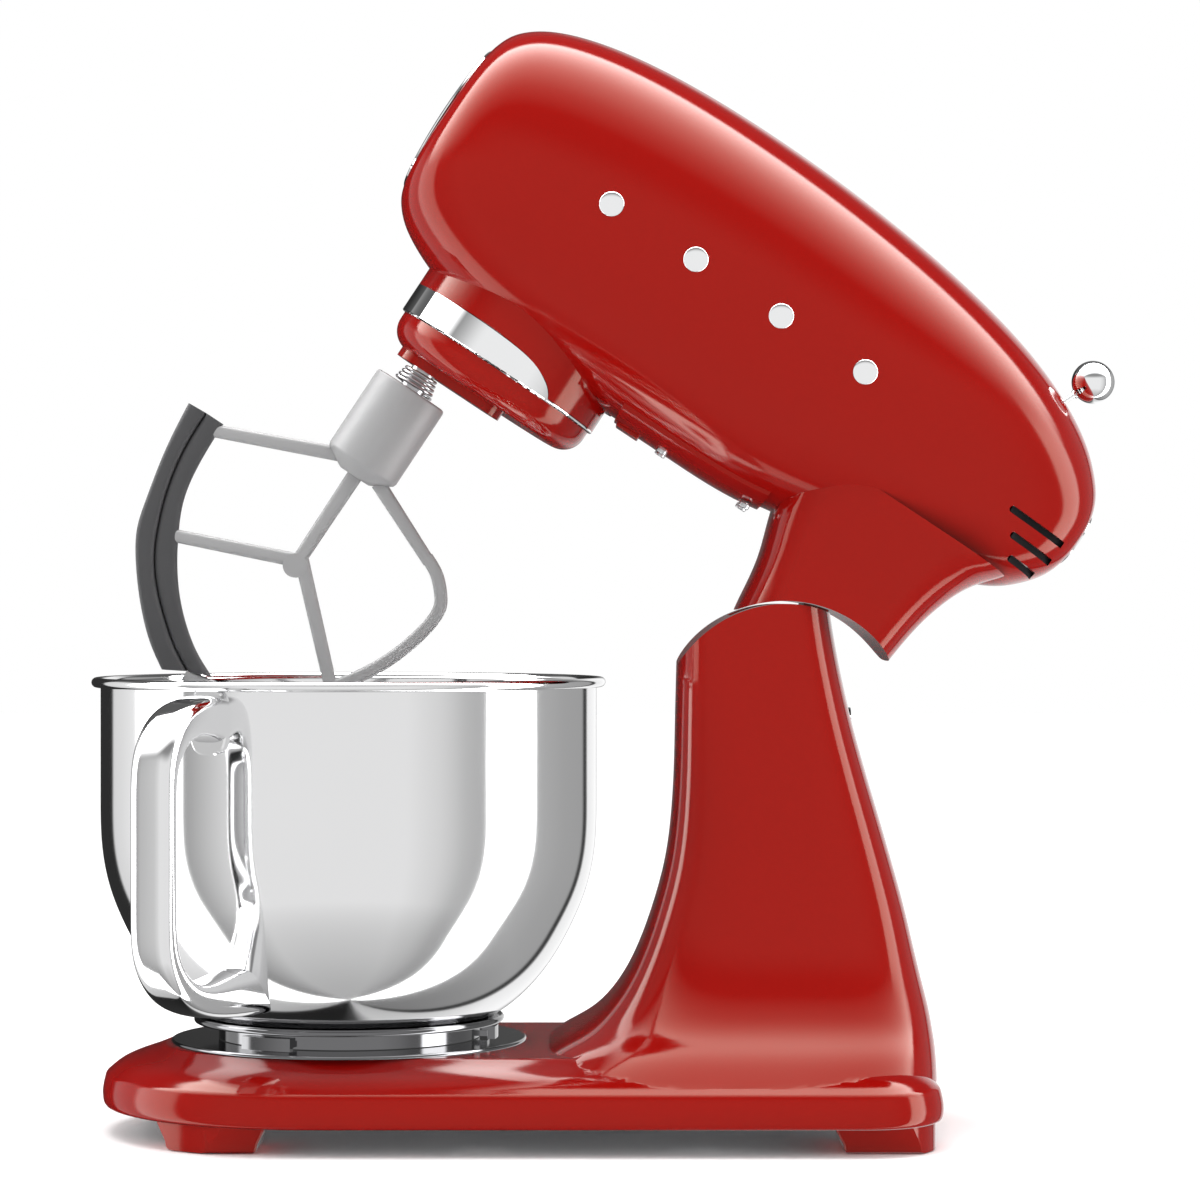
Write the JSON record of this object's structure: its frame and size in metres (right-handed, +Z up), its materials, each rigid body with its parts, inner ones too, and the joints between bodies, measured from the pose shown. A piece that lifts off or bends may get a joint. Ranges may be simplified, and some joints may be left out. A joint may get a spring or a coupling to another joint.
{
  "type": "stand mixer",
  "caption": "Tilt-head stand mixer with a planetary flat beater, a lock-on steel bowl with a strap handle, a geared motor drive and an accessory hub in its nose.",
  "frame": {"origin": "on the plane that the feet stand on, on the bowl's axis", "axes": "+Z up, -X to the front (the bowl end), +X to the rear (the column end), Y across the mixer"},
  "size_m": [0.4393, 0.2474, 0.4704],
  "materials": {
    "red_enamel": "gloss",
    "polished_steel": "polished",
    "chrome": "mirror",
    "steel": "machined",
    "cast_aluminium": "satin",
    "bronze": "machined",
    "copper_winding": "enamelled",
    "soft_edge": "matte",
    "black_rubber": "matte",
    "black_plastic": "matte",
    "grey_plastic": "matte",
    "board_green": "matte"
  },
  "bodies": {
    "base": {"base_casting": "red_enamel", "base_bottom_cover": "grey_plastic", "rubber_feet": "black_rubber", "base_screws": "steel", "bowl_seat_plate": "polished_steel", "seat_screws": "steel", "hinge_pin": "steel", "cord_gland": "black_rubber", "control_board": "board_green", "release_spring": "steel"},
    "release": {"release_button": "chrome"},
    "bowl": {"bowl_shell": "polished_steel", "bowl_foot": "polished_steel", "bowl_handle": "polished_steel"},
    "head": {"head_shell": "red_enamel", "lower_gearcase": "red_enamel", "head_bottom_cover": "red_enamel", "trim_band": "chrome", "accessory_hub": "cast_aluminium", "rear_cap_ring": "chrome", "rear_cap": "red_enamel", "vent_inserts": "black_plastic", "side_marks": "chrome", "speed_switch": "black_plastic", "motor_stator": "copper_winding", "motor_brackets": "steel", "motor_bearings": "steel", "brush_holders": "black_plastic", "ring_gear": "steel", "gearbox_plate": "cast_aluminium", "shaft_bearings": "steel", "idler_bushes": "bronze", "hub_bush": "bronze", "hinge_bushes": "bronze", "head_screws": "steel"},
    "hub_cover": {"front_cover": "chrome"},
    "speed_lever": {"speed_lever_arm": "chrome", "speed_lever_ball": "chrome"},
    "planetary": {"planetary_cup": "red_enamel", "main_shaft": "steel", "main_gear": "steel", "planet_bushes": "bronze"},
    "beater": {"beater_shaft": "steel", "beater_pin": "steel", "planet_pinion": "steel", "beater_spring": "steel", "beater_frame": "cast_aluminium", "beater_edge": "soft_edge"},
    "idler": {"idler_shaft": "steel", "idler_pinion": "steel", "worm_wheel": "bronze"},
    "motor": {"motor_shaft": "steel", "rotor_core": "steel", "commutator": "bronze", "cooling_fan": "black_plastic"},
    "hub_drive": {"hub_drive_shaft": "steel", "hub_pinion": "steel"}
  },
  "joints": [
    {"name": "head_tilt", "type": "hinge", "parent": "base", "child": "head", "pos_m": [0.1851, 0, 0.1738], "axis": [0, 1, 0], "range_deg": [-33.5, 0]},
    {"name": "planetary_spin", "type": "hinge", "parent": "head", "child": "planetary", "pos_m": [0.05956, 0, 0.31949], "axis": [0.5519, 0, 0.8339], "continuous": true},
    {"name": "beater_spin", "type": "hinge", "parent": "planetary", "child": "beater", "pos_m": [0.03767, 0, 0.33398], "axis": [0.5519, 0, 0.8339], "continuous": true},
    {"name": "idler_spin", "type": "hinge", "parent": "head", "child": "idler", "pos_m": [0.13325, 0.022, 0.34747], "axis": [0.5519, 0, 0.8339], "continuous": true},
    {"name": "motor_spin", "type": "hinge", "parent": "head", "child": "motor", "pos_m": [0.19041, 0, 0.33601], "axis": [0.8339, 0, -0.5519], "continuous": true},
    {"name": "hub_drive_spin", "type": "hinge", "parent": "head", "child": "hub_drive", "pos_m": [0.06533, 0, 0.4188], "axis": [-0.8339, 0, 0.5519], "continuous": true},
    {"name": "hub_cover_pull", "type": "slide", "parent": "head", "child": "hub_cover", "axis": [-0.8339, 0, 0.5519], "range_m": [0, 0.02]},
    {"name": "speed_lever_swing", "type": "hinge", "parent": "head", "child": "speed_lever", "pos_m": [0.28146, 0, 0.29524], "axis": [0.5519, 0, -0.8339], "range_deg": [-20, 20]},
    {"name": "release_press", "type": "slide", "parent": "base", "child": "release", "axis": [-1, 0, 0], "range_m": [0, 0.002], "stiffness_N_per_m": 800, "springref_m": -0.001, "deforming": ["release_spring"]},
    {"name": "bowl_twist", "type": "hinge", "parent": "base", "child": "bowl", "pos_m": [0, 0, 0.05], "axis": [0, 0, 1], "range_deg": [0, 24]}
  ],
  "couplings": [
    {"joint": "beater_spin", "follows": "planetary_spin", "ratio": -3.5},
    {"joint": "idler_spin", "follows": "planetary_spin", "ratio": -2.4},
    {"joint": "motor_spin", "follows": "planetary_spin", "ratio": 24},
    {"joint": "hub_drive_spin", "follows": "planetary_spin", "ratio": 1.5}
  ]
}
